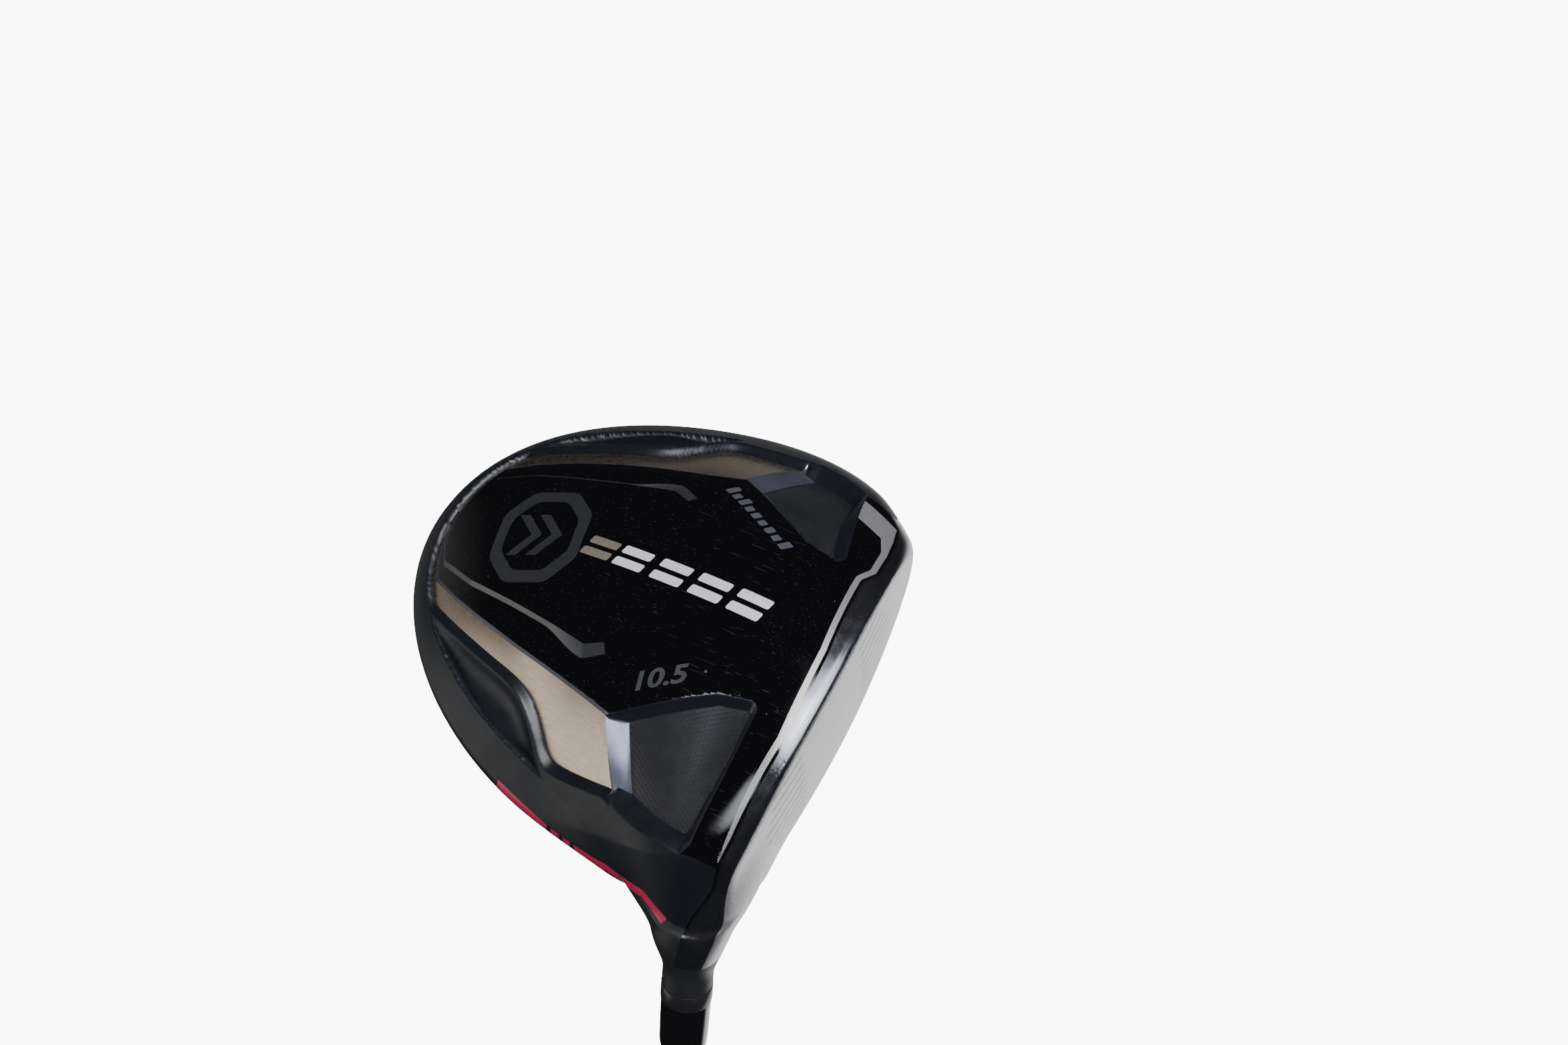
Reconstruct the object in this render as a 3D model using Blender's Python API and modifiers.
"""A right-handed golf driver: hollow metal head, bonded hosel, ferrule, tapered shaft and rubber grip.

Frame: metres, +Z up along the shaft from the butt of the grip to the head, the way a club stands in a bag.
The origin is the centre of the butt's flat end. The face looks towards -Y and the toe lies towards +X.
The head is modelled as it sits on the ground at address, x to the toe, y to the target, z up with the
ground at z = 0, and the empty head_frame turns it onto the shaft.
"""
import bpy
import bmesh
from math import cos, pi, radians, sin, tan
from mathutils import Matrix, Vector

for old in list(bpy.data.objects):
    bpy.data.objects.remove(old)

# ---- driving dimensions, metres ----
CLUB_LENGTH = 1.162              # butt to the ground under the heel, 45.75 in
LIE = radians(59.0)              # shaft to the ground
LOFT = radians(10.5)
GAP = 0.0003                     # clearance that touching meshes keep
OVERRUN = 0.002                  # how far a cutter passes the face it cuts

# head, address frame
PLAN_X, PLAN_Y = -0.002, -0.055  # centre of the plan outline, a superellipse
PLAN_A, PLAN_B = 0.0605, 0.0685  # its half width, heel to toe, and half depth
PLAN_POWER = 1.85                # 2 is an ellipse, less is more pointed
RIM_Z = 0.0255                   # widest level of the head above the ground, at the plan centre
RIM_SLOPE = 0.11                 # the rim climbs this much per metre towards the face
CROWN_RISE = 0.0330
CROWN_MARGIN = 0.0022            # the crown's own outline is this much larger than the plan
CROWN_POWER = 2.3
SOLE_LOW_Y = -0.0294             # the sole touches the ground here
SOLE_SIDE_RISE, SOLE_SIDE_HALF, SOLE_SIDE_POWER = 0.0253, 0.049, 2.2
SOLE_REAR_RISE, SOLE_REAR_RUN = 0.0178, 0.0784
SOLE_LEAD_RISE, SOLE_LEAD_RUN = 0.0049, 0.0294
FACE_MID_X, FACE_MID_Z = -0.010, 0.029
FACE_MID_Y = -0.0034             # face at its middle: puts the leading edge at y = 0
FACE_RADIUS = 0.305              # bulge and roll, 12 in
FACE_TURN = 0.0032               # how far the face comes forward again where it runs into the hosel
FACE_TURN_X, FACE_TURN_Z = (-0.030, -0.056), (0.022, 0.042)
EDGE_BLEND = 0.0070              # rounding where sole, skirt and crown meet
HEAD_RINGS, HEAD_SEGMENTS = 36, 60
HEAD_CENTRE = Vector((PLAN_X, PLAN_Y, 0.028))
RAY_REACH = 0.12                 # the form's surface is looked for this far from its centre
RAY_STEPS = 40

CROWN_WALL = 0.0009
SOLE_WALL = 0.0012
FACE_WALL = 0.0030
CUP_DEPTH = 0.0062               # how far the face cup's skirt wraps back
SEAM_ABOVE_RIM = 0.0030          # crown seam over the rim
CUTTER_REACH = 0.2
FRONT_WIDTH, FRONT_HEIGHT = 0.20, 0.12       # the sheet that cuts the face
FRONT_ACROSS, FRONT_UP = 16, 12              # its cells
FRONT_REACH, CUP_REACH = 0.04, 0.06          # how far the cut reaches before the sheet

# hosel and shaft: distances run up the shaft from the ground point under the heel
AXIS_X, AXIS_Y = -0.0374, -0.0157
HOSEL_END = 0.0655
HOSEL_R = 0.0060
FLARE_START, FLARE_END, FLARE_RISE, FLARE_POWER = 0.0380, 0.0620, 0.0022, 2.6
FLARE_STATIONS = (0.0380, 0.0430, 0.0480, 0.0540, 0.0620, 0.0655)
FOOT_ANGLES = (15, 35, 55, 75)                # degrees round the hosel's rounded foot
ROOT_FOOT = Vector((-0.046, -0.019, 0.034))   # the head's heel swells round a tapered root, from here
ROOT_TOP = 0.0500                             # to this far up the shaft, a little in front of its axis
ROOT_TOP_SHIFT = Vector((0.0010, 0.0012, 0.0))
ROOT_FOOT_R, ROOT_TOP_R, ROOT_BLEND = 0.0160, 0.0072, 0.0300
CASTING_R, CASTING_START = 0.0150, 0.0100     # the head's skin this near the axis is cast with the hosel
BORE_R = 0.0047
BORE_START = 0.0360
COLLAR_END = 0.0707
COLLAR_R = 0.0061
FERRULE_END = 0.0870
FERRULE_R, FERRULE_SHOULDER_R, FERRULE_TIP_R = 0.0059, 0.0057, 0.0054
FERRULE_LIP = 0.0030             # length of the rounding at its tip
SHAFT_TIP = 0.0365
TIP_PARALLEL_END = 0.1500
SHAFT_TIP_R, SHAFT_BUTT_R = 0.0044, 0.0076
SHAFT_TIP_WALL, SHAFT_BUTT_WALL = 0.0014, 0.0010
SHAFT_BUTT_Z = 0.0052            # the tube stops inside the cap, above the butt face
TAPER_STATIONS = (0.80, 0.60, 0.40)
TIP_PLUG_LENGTH = 0.0120
TIP_PLUG_CLEAR = 0.0002          # between the plug and the tube
BOND_CLEAR = 0.00005             # between the bond and the two walls it fills

GRIP_LENGTH = 0.268
GRIP_BUTT_R = 0.0133
GRIP_TAPER = ((0.268, 0.0084), (0.265, 0.0089), (0.150, 0.0108), (0.060, 0.0124))   # (height, radius)
CAP_R, CAP_THICK, CAP_EDGE = 0.0145, 0.0046, 0.0012
CAP_SPIGOT_R, CAP_SPIGOT_TOP, CAP_SPIGOT_EDGE = 0.0058, 0.0160, 0.0008
TAPE_THICK = 0.0006
TAPE_STATIONS = (0.262, 0.120, 0.0052)
TURN_SEGMENTS = 32

PAD_RISE, PAD_HALF_X, PAD_HALF_Y = 0.0060, 0.0155, 0.0080
PAD_Y = -0.0930
GLUE_X, GLUE_Y, GLUE_R = 0.0, -0.0480, 0.0150
GLUE_RISE = 0.0022
PAD_LIFT = SOLE_WALL + 2 * GAP   # underside of both, over the sole's outer surface

# sole inlays, as outlines in plan: the toe half, from the front outer corner round; the heel mirrors it
POCKET_OUTLINE = ((0.0410, -0.0210), (0.0430, -0.0340), (0.0330, -0.0425),
                  (0.0205, -0.0225), (0.0200, -0.0135))
POCKET_DEPTH = 0.0022
BAND_OUTER = ((0.0455, -0.0425), (0.0450, -0.0600), (0.0365, -0.0685), (0.0315, -0.0760), (0.0285, -0.0880),
              (0.0220, -0.1035), (0.0120, -0.1120), (0.0, -0.1145))
BAND_INNER = ((0.0, -0.1110), (0.0100, -0.1085), (0.0170, -0.1010), (0.0215, -0.0920), (0.0260, -0.0790),
              (0.0305, -0.0620), (0.0338, -0.0470))
BAND_DEPTH = 0.0010
INLAY_THICK = 0.0007
BACKING_WALL = 0.0010
INLAY_CELL = 0.0070              # largest facet of an inlay, which follows the sole's curve
BELOW_SOLE = 0.0100

COLOURS = {
    "champagne": ((0.46, 0.39, 0.32), 0.30, 1.0),
    "pocket_plastic": ((0.020, 0.024, 0.030), 0.42, 0.0),
    "black_gloss": ((0.010, 0.010, 0.011), 0.08, 0.2),
    "black_satin": ((0.018, 0.019, 0.023), 0.38, 0.2),
    "face_metal": ((0.42, 0.42, 0.43), 0.38, 1.0),
    "tungsten": ((0.30, 0.30, 0.31), 0.45, 1.0),
    "amber_glue": ((0.55, 0.38, 0.14), 0.30, 0.0),
    "black_plastic": ((0.012, 0.012, 0.013), 0.12, 0.0),
    "carbon": ((0.014, 0.014, 0.016), 0.14, 0.0),
    "cork": ((0.45, 0.31, 0.18), 0.80, 0.0),
    "epoxy": ((0.62, 0.56, 0.40), 0.35, 0.0),
    "rubber": ((0.022, 0.022, 0.023), 0.75, 0.0),
    "paper_tape": ((0.70, 0.64, 0.50), 0.85, 0.0),
}


# ---- scene helpers ----
def make_material(name):
    colour, roughness, metallic = COLOURS[name]
    material = bpy.data.materials.new(name)
    material.use_nodes = True
    shader = material.node_tree.nodes["Principled BSDF"]
    shader.inputs["Base Color"].default_value = (*colour, 1.0)
    shader.inputs["Roughness"].default_value = roughness
    shader.inputs["Metallic"].default_value = metallic
    return material


materials = {name: make_material(name) for name in COLOURS}
driver = bpy.data.collections.new("golf_driver")
cutters = bpy.data.collections.new("cutters")
bpy.context.scene.collection.children.link(driver)
bpy.context.scene.collection.children.link(cutters)

head_frame = bpy.data.objects.new("head_frame", None)
driver.objects.link(head_frame)
head_frame.matrix_world = Matrix((
    (sin(LIE), 0, cos(LIE), -AXIS_X * sin(LIE)),
    (0, -1, 0, AXIS_Y),
    (cos(LIE), 0, -sin(LIE), CLUB_LENGTH - AXIS_X * cos(LIE)),
    (0, 0, 0, 1),
))


def link(obj, collection):
    for owner in obj.users_collection:
        owner.objects.unlink(obj)
    collection.objects.link(obj)


def as_part(obj, material):
    obj.data.name = obj.name
    obj.data.materials.clear()
    obj.data.materials.append(materials[material])
    link(obj, driver)
    return obj


def as_cutter(obj, name):
    obj.name = name
    obj.hide_render = True
    obj.display_type = "WIRE"
    link(obj, cutters)
    return obj


def in_head_frame(obj):
    obj.parent = head_frame
    return obj


def boolean(obj, operation, other):
    """The manifold solver, because the exact one leaves open edges on these finely curved shells."""
    modifier = obj.modifiers.new(f"{operation.lower()}_{other.name}", "BOOLEAN")
    modifier.operation = operation
    modifier.object = other
    modifier.solver = "MANIFOLD"


def smooth(obj, angle=30):
    obj.data.shade_smooth()
    obj.data.set_sharp_from_angle(angle=radians(angle))


# ---- the head's outer form ----
def rim_height(y):
    return RIM_Z + RIM_SLOPE * (y - PLAN_Y)


def plan_radius(x, y, grow=0.0):
    """1 on the plan outline, less inside it."""
    across = abs((x - PLAN_X) / (PLAN_A + grow)) ** PLAN_POWER
    along = abs((y - PLAN_Y) / (PLAN_B + grow)) ** PLAN_POWER
    return (across + along) ** (1 / PLAN_POWER)


def sole_height(x, y):
    side = SOLE_SIDE_RISE * abs(x / SOLE_SIDE_HALF) ** SOLE_SIDE_POWER
    if y < SOLE_LOW_Y:
        return side + SOLE_REAR_RISE * ((SOLE_LOW_Y - y) / SOLE_REAR_RUN) ** 2
    return side + SOLE_LEAD_RISE * ((y - SOLE_LOW_Y) / SOLE_LEAD_RUN) ** 2


def crown_height(x, y):
    inside = 1 - plan_radius(x, y, CROWN_MARGIN) ** CROWN_POWER
    return rim_height(y) + CROWN_RISE * max(inside, 0.0) ** 0.5


def smooth_step(start, end, value):
    share = min(max((value - start) / (end - start), 0.0), 1.0)
    return share * share * (3 - 2 * share)


def face_front(x, z):
    """y of the bulged and rolled face, which turns forward at the hosel."""
    up = z - FACE_MID_Z
    across = x - FACE_MID_X
    turn = FACE_TURN * smooth_step(*FACE_TURN_X, x) * smooth_step(*FACE_TURN_Z, z)
    return FACE_MID_Y - up * tan(LOFT) - (across ** 2 + up ** 2) / (2 * FACE_RADIUS) + turn


def rounded_max(a, b, radius):
    blend = max(radius - abs(a - b), 0.0) / radius
    return max(a, b) + blend ** 2 * radius / 4


def on_shaft(distance):
    """Point of the shaft's axis in the address frame."""
    return Vector((AXIS_X - distance * cos(LIE), AXIS_Y, distance * sin(LIE)))


def outside_root(point):
    """Distance to the tapered root that carries the hosel."""
    along = on_shaft(ROOT_TOP) + ROOT_TOP_SHIFT - ROOT_FOOT
    share = min(max((point - ROOT_FOOT).dot(along) / along.length_squared, 0.0), 1.0)
    radius = ROOT_FOOT_R + (ROOT_TOP_R - ROOT_FOOT_R) * share
    return (point - ROOT_FOOT - along * share).length - radius


def outside_form(point):
    """Below 0 inside the head's form before the face is cut, above 0 outside."""
    x, y, z = point
    below = sole_height(x, y) - z
    above = z - crown_height(x, y)
    around = (plan_radius(x, y) - 1) * PLAN_A
    bowl = rounded_max(rounded_max(below, around, EDGE_BLEND), above, EDGE_BLEND)
    return -rounded_max(-bowl, -outside_root(point), ROOT_BLEND)


def form_radius(direction):
    """Distance from the head's centre to its surface along a ray."""
    near, far = 0.0, RAY_REACH
    for _ in range(RAY_STEPS):
        middle = (near + far) / 2
        if outside_form(HEAD_CENTRE + direction * middle) < 0:
            near = middle
        else:
            far = middle
    return near


def head_form(name, wall):
    """A sphere whose vertices are pushed out to the head's surface, less a wall."""
    bpy.ops.mesh.primitive_uv_sphere_add(segments=HEAD_SEGMENTS, ring_count=HEAD_RINGS, radius=1.0)
    form = bpy.context.object
    for vertex in form.data.vertices:
        direction = vertex.co.normalized()
        vertex.co = HEAD_CENTRE + direction * form_radius(direction)
    if wall:
        form.data.update()
        normals = [vertex.normal.copy() for vertex in form.data.vertices]
        for vertex, normal in zip(form.data.vertices, normals):
            vertex.co -= normal * wall
    return in_head_frame(as_cutter(form, name))


def front_cutter(name, behind, reach=FRONT_REACH):
    """Everything in front of the face surface, moved back by a distance."""
    bpy.ops.mesh.primitive_grid_add(x_subdivisions=FRONT_ACROSS, y_subdivisions=FRONT_UP, size=1.0)
    sheet = bpy.context.object
    for vertex in sheet.data.vertices:
        x = vertex.co.x * FRONT_WIDTH
        z = vertex.co.y * FRONT_HEIGHT + FACE_MID_Z
        vertex.co = (x, face_front(x, z) - behind, z)
    sheet.data.update()
    thicken = sheet.modifiers.new("thicken", "SOLIDIFY")
    thicken.thickness = reach
    thicken.offset = 1.0 if sheet.data.polygons[0].normal.y > 0 else -1.0
    return in_head_frame(as_cutter(sheet, name))


def box_cutter(name, low, high):
    bpy.ops.mesh.primitive_cube_add(size=1.0)
    box = bpy.context.object
    for vertex in box.data.vertices:
        vertex.co = [lo + (c + 0.5) * (hi - lo) for c, lo, hi in zip(vertex.co, low, high)]
    return in_head_frame(as_cutter(box, name))


def seam_cutter(name, over_rim, upwards):
    """Half space above or below the crown seam, which is parallel to the rim."""
    half = box_cutter(name, (-CUTTER_REACH, -CUTTER_REACH, 0), (CUTTER_REACH, CUTTER_REACH, CUTTER_REACH))
    for vertex in half.data.vertices:
        level = rim_height(vertex.co.y) + over_rim
        if vertex.co.z > 0:
            vertex.co.z = level + (CUTTER_REACH if upwards else 0)
        else:
            vertex.co.z = level - (0 if upwards else CUTTER_REACH)
    return half


# ---- turned pieces on the shaft's axis ----
def turned(name, profile):
    """A solid of revolution about the shaft from (radius, z) down its outer side, top to bottom."""
    mesh = bpy.data.meshes.new(name)
    mesh.from_pydata([(r, 0, z) for r, z in profile], [(i, i + 1) for i in range(len(profile) - 1)], [])
    obj = bpy.data.objects.new(name, mesh)
    driver.objects.link(obj)
    screw = obj.modifiers.new("turn", "SCREW")
    screw.steps = TURN_SEGMENTS
    screw.render_steps = TURN_SEGMENTS
    screw.use_merge_vertices = True
    screw.merge_threshold = 0.00001
    screw.use_smooth_shade = True
    return obj


def up_shaft(distance):
    """Row z of a point that far up the shaft from the ground."""
    return CLUB_LENGTH - distance


def tube_profile(stations):
    """Closed outline of a tube wall from (z, outer radius, inner radius) stations, highest first."""
    outer = [(outer_r, z) for z, outer_r, _ in stations]
    inner = [(inner_r, z) for z, _, inner_r in reversed(stations)]
    return outer + inner + [outer[0]]


def rod_profile(stations):
    """Outline of a solid rod from (z, radius) stations, highest first."""
    return [(0, stations[0][0])] + [(r, z) for z, r in stations] + [(0, stations[-1][0])]


def shaft_radius(z):
    """Outer radius of the shaft: parallel at the tip, then an even taper to the butt."""
    taper_top = up_shaft(TIP_PARALLEL_END)
    if z >= taper_top:
        return SHAFT_TIP_R
    share = (taper_top - z) / (taper_top - SHAFT_BUTT_Z)
    return SHAFT_TIP_R + (SHAFT_BUTT_R - SHAFT_TIP_R) * share


def shaft_wall(z):
    return SHAFT_TIP_WALL + (SHAFT_BUTT_WALL - SHAFT_TIP_WALL) * (1 - z / CLUB_LENGTH)


# ---- head pieces ----
outer_form = head_form("outer_form", 0.0)
inner_form = head_form("inner_form", SOLE_WALL)
crown_inner_form = head_form("crown_inner_form", CROWN_WALL)
cut_face = front_cutter("cut_face", 0.0)
cut_cavity_front = front_cutter("cut_cavity_front", FACE_WALL)
cut_before_cup = front_cutter("cut_before_cup", CUP_DEPTH, CUP_REACH)
keep_cup = front_cutter("keep_cup", CUP_DEPTH - GAP, CUP_REACH)
above_seam = seam_cutter("above_seam", SEAM_ABOVE_RIM + GAP / 2, True)
below_seam = seam_cutter("below_seam", SEAM_ABOVE_RIM - GAP / 2, False)


def hosel_rod(name, stations):
    return as_cutter(turned(name, rod_profile([(up_shaft(d), r) for d, r in stations])), name)


def hosel_radius(distance):
    """The hosel is round and even at its mouth and flares where it grows out of the head."""
    share = (FLARE_END - max(distance, FLARE_START)) / (FLARE_END - FLARE_START)
    return HOSEL_R + FLARE_RISE * max(share, 0.0) ** FLARE_POWER


foot_r = hosel_radius(FLARE_START)
hosel_outline = [(FLARE_START - foot_r * cos(radians(a)), foot_r * sin(radians(a))) for a in FOOT_ANGLES]
hosel_outline += [(d, hosel_radius(d)) for d in FLARE_STATIONS]
hosel_solid = hosel_rod("hosel_solid", hosel_outline)
casting_zone = hosel_rod("casting_zone", [(CASTING_START, CASTING_R), (HOSEL_END, CASTING_R)])
casting_room = hosel_rod("casting_room", [(CASTING_START, CASTING_R + GAP), (HOSEL_END, CASTING_R + GAP)])
hosel_bore = hosel_rod("hosel_bore", [(BORE_START, BORE_R), (HOSEL_END + OVERRUN, BORE_R)])


def head_piece(name, material):
    piece = outer_form.copy()
    piece.data = outer_form.data.copy()
    piece.hide_render = False
    piece.display_type = "TEXTURED"
    piece.name = name
    smooth(piece)
    return as_part(piece, material)


def own_copy(original, name):
    copy = original.copy()
    copy.data = original.data.copy()
    return in_head_frame(as_cutter(copy, name))


cavity = own_copy(inner_form, "cavity")
boolean(cavity, "DIFFERENCE", cut_cavity_front)

crown = head_piece("crown_shell", "black_gloss")
boolean(crown, "DIFFERENCE", crown_inner_form)
boolean(crown, "INTERSECT", above_seam)
boolean(crown, "DIFFERENCE", cut_before_cup)
boolean(crown, "DIFFERENCE", casting_room)

casting = own_copy(outer_form, "casting")
boolean(casting, "DIFFERENCE", cavity)
boolean(casting, "DIFFERENCE", cut_face)
boolean(casting, "INTERSECT", casting_zone)

body = head_piece("sole_body", "black_satin")
boolean(body, "DIFFERENCE", inner_form)
boolean(body, "INTERSECT", below_seam)
boolean(body, "DIFFERENCE", cut_before_cup)
boolean(body, "UNION", casting)
boolean(body, "UNION", hosel_solid)
boolean(body, "DIFFERENCE", hosel_bore)

cup = head_piece("face_cup", "face_metal")
boolean(cup, "DIFFERENCE", cavity)
boolean(cup, "DIFFERENCE", cut_face)
boolean(cup, "INTERSECT", keep_cup)
boolean(cup, "DIFFERENCE", casting_room)

# ---- shaft, ferrule and grip ----
as_part(turned("hosel_collar", tube_profile([
    (up_shaft(HOSEL_END + GAP), COLLAR_R, BORE_R),
    (up_shaft(COLLAR_END), COLLAR_R, BORE_R),
])), "black_satin")

as_part(turned("ferrule", tube_profile([
    (up_shaft(COLLAR_END + GAP), FERRULE_R, BORE_R),
    (up_shaft(FERRULE_END - FERRULE_LIP), FERRULE_SHOULDER_R, BORE_R),
    (up_shaft(FERRULE_END), FERRULE_TIP_R, BORE_R),
])), "black_plastic")

shaft_stations = [up_shaft(SHAFT_TIP), up_shaft(TIP_PARALLEL_END), *TAPER_STATIONS, GRIP_LENGTH, SHAFT_BUTT_Z]
as_part(turned("shaft", tube_profile([
    (z, shaft_radius(z), shaft_radius(z) - shaft_wall(z)) for z in shaft_stations
])), "carbon")

# The bond fills the bore round the tip and stops at the hosel's mouth.
as_part(turned("tip_epoxy", tube_profile([
    (z, BORE_R - BOND_CLEAR, SHAFT_TIP_R + BOND_CLEAR) for z in (up_shaft(SHAFT_TIP), up_shaft(HOSEL_END))
])), "epoxy")

plug_r = SHAFT_TIP_R - SHAFT_TIP_WALL - TIP_PLUG_CLEAR
as_part(turned("tip_plug", rod_profile([
    (up_shaft(SHAFT_TIP), plug_r),
    (up_shaft(SHAFT_TIP + TIP_PLUG_LENGTH), plug_r),
])), "cork")

grip_stations = [*GRIP_TAPER, (CAP_THICK + GAP, GRIP_BUTT_R)]
as_part(turned("grip", tube_profile([
    (z, radius, shaft_radius(z) + TAPE_THICK + GAP) for z, radius in grip_stations
])), "rubber")

as_part(turned("grip_tape", tube_profile([
    (z, shaft_radius(z) + TAPE_THICK, shaft_radius(z) + BOND_CLEAR) for z in TAPE_STATIONS
])), "paper_tape")

as_part(turned("butt_cap", [
    (0, CAP_SPIGOT_TOP),
    (CAP_SPIGOT_R - CAP_SPIGOT_EDGE, CAP_SPIGOT_TOP),
    (CAP_SPIGOT_R, CAP_SPIGOT_TOP - CAP_SPIGOT_EDGE),
    (CAP_SPIGOT_R, CAP_THICK),
    (GRIP_BUTT_R, CAP_THICK),
    (CAP_R, CAP_THICK - CAP_EDGE),
    (CAP_R, CAP_EDGE),
    (CAP_R - CAP_EDGE, 0),
    (0, 0),
]), "rubber")


# ---- pieces on and inside the sole ----
def sole_prism(name, outline, low, high):
    """A plan outline given thickness between two heights over the sole's surface."""
    shape = bmesh.new()
    shape.faces.new([shape.verts.new((x, y, 0)) for x, y in outline])
    bmesh.ops.triangulate(shape, faces=shape.faces[:])
    for axis in (0, 1):
        values = [point[axis] for point in outline]
        for step in range(int(min(values) / INLAY_CELL) - 1, int(max(values) / INLAY_CELL) + 2):
            plane, normal = [0, 0, 0], [0, 0, 0]
            plane[axis], normal[axis] = step * INLAY_CELL, 1
            bmesh.ops.bisect_plane(shape, geom=shape.verts[:] + shape.edges[:] + shape.faces[:],
                                   plane_co=plane, plane_no=normal)
    bmesh.ops.triangulate(shape, faces=shape.faces[:])
    bottom = shape.verts[:]
    made = bmesh.ops.extrude_face_region(shape, geom=shape.faces[:], use_keep_orig=True)
    for vertex in bottom:
        vertex.co.z = sole_height(vertex.co.x, vertex.co.y) + low
    for vertex in (item for item in made["geom"] if isinstance(item, bmesh.types.BMVert)):
        vertex.co.z = sole_height(vertex.co.x, vertex.co.y) + high
    bmesh.ops.recalc_face_normals(shape, faces=shape.faces)
    mesh = bpy.data.meshes.new(name)
    shape.to_mesh(mesh)
    shape.free()
    prism = bpy.data.objects.new(name, mesh)
    driver.objects.link(prism)
    return in_head_frame(prism)


def oval(mid_x, mid_y, half_x, half_y, count=20):
    turns = [2 * pi * i / count for i in range(count)]
    return [(mid_x + half_x * cos(turn), mid_y + half_y * sin(turn)) for turn in turns]


def mirrored(outline):
    return [(-x, y) for x, y in reversed(outline)]


def shrunk(outline, inset):
    """The outline moved inwards by about the inset, corner by corner."""
    moved = []
    before_each = outline[-1:] + outline[:-1]
    after_each = outline[1:] + outline[:1]
    area = sum(a[0] * b[1] - b[0] * a[1] for a, b in zip(outline, after_each))
    turning = 1 if area > 0 else -1
    for before, corner, after in zip(before_each, outline, after_each):
        one = (Vector(corner) - Vector(before)).normalized()
        two = (Vector(after) - Vector(corner)).normalized()
        inward = Vector((-one.y - two.y, one.x + two.x)) * turning
        inward.normalize()
        cosine = max(abs(inward.dot(Vector((-one.y, one.x)))), 0.5)
        moved.append(tuple(Vector(corner) + inward * inset / cosine))
    return moved


def sole_inlay(name, material, outline, depth):
    """A plate let into the sole: backing left inside the wall, a recess cut from below, and the plate."""
    backed = shrunk(outline, -BACKING_WALL)
    backing = sole_prism(f"{name}_backing", backed, -BELOW_SOLE, depth + BACKING_WALL)
    boolean(inner_form, "DIFFERENCE", as_cutter(backing, backing.name))
    recess = sole_prism(f"{name}_recess", outline, -BELOW_SOLE, depth)
    boolean(body, "DIFFERENCE", as_cutter(recess, recess.name))
    plate = sole_prism(name, shrunk(outline, GAP), depth - GAP - INLAY_THICK, depth - GAP)
    return as_part(plate, material)


pocket = list(POCKET_OUTLINE)
sole_inlay("toe_pocket_insert", "pocket_plastic", pocket, POCKET_DEPTH)
sole_inlay("heel_pocket_insert", "pocket_plastic", mirrored(pocket), POCKET_DEPTH)
band = list(BAND_OUTER) + mirrored(BAND_OUTER)[1:] + mirrored(BAND_INNER) + list(BAND_INNER)[1:]
sole_inlay("sole_trim_band", "champagne", band, BAND_DEPTH)

pad = sole_prism("rear_weight_pad", oval(0, PAD_Y, PAD_HALF_X, PAD_HALF_Y), PAD_LIFT, PAD_LIFT + PAD_RISE)
as_part(pad, "tungsten")
glue = sole_prism("swing_weight_glue", oval(GLUE_X, GLUE_Y, GLUE_R, GLUE_R), PAD_LIFT, PAD_LIFT + GLUE_RISE)
as_part(glue, "amber_glue")
